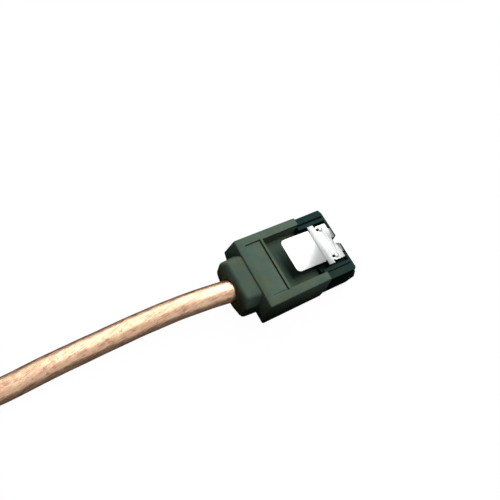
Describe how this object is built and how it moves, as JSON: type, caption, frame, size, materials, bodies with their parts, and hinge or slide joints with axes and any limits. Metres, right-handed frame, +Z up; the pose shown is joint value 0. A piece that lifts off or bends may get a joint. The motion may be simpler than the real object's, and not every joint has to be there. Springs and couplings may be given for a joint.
{
  "type": "data cable",
  "caption": "Round foil-shielded data cable with a flat black plug on each end, each with a sprung steel thumb latch over its wide face.",
  "frame": {"origin": "bottom centre of the near plug, on the surface that it lies on", "axes": "+X out of the near plug's mating end, +Y to the left seen from above with the mating end ahead, +Z up through the wide face that carries the latch"},
  "size_m": [0.1304, 0.0574, 0.009],
  "materials": {
    "moulding_plastic": "fine grain, black with a green-grey cast",
    "housing_plastic": "satin black",
    "latch_steel": "satin stainless sheet",
    "contact_gold": "gold-plated spring contact",
    "cable_jacket": "clear glossy jacket over copper foil and braid"
  },
  "bodies": {
    "cable": {"moulding_near": "moulding_plastic", "housing_near": "housing_plastic", "contact_near_1": "contact_gold", "contact_near_2": "contact_gold", "contact_near_3": "contact_gold", "contact_near_4": "contact_gold", "contact_near_5": "contact_gold", "contact_near_6": "contact_gold", "contact_near_7": "contact_gold", "moulding_far": "moulding_plastic", "housing_far": "housing_plastic", "contact_far_1": "contact_gold", "contact_far_2": "contact_gold", "contact_far_3": "contact_gold", "contact_far_4": "contact_gold", "contact_far_5": "contact_gold", "contact_far_6": "contact_gold", "contact_far_7": "contact_gold", "cable_run": "cable_jacket", "cable_coil": "cable_jacket", "cable_tail": "cable_jacket"},
    "thumb_latch_near": {"latch_near": "latch_steel"},
    "thumb_latch_far": {"latch_far": "latch_steel"}
  },
  "joints": [
    {"name": "latch_press_near", "type": "hinge", "parent": "cable", "child": "thumb_latch_near", "pos_m": [0.0109, 0, 0.0074], "axis": [0, -1, 0], "range_deg": [0, 6], "stiffness_Nm_per_rad": 0.05},
    {"name": "latch_press_far", "type": "hinge", "parent": "cable", "child": "thumb_latch_far", "pos_m": [-0.03521, -0.04172, 0.0074], "axis": [-0.1392, -0.9903, 0], "range_deg": [0, 6], "stiffness_Nm_per_rad": 0.05}
  ]
}
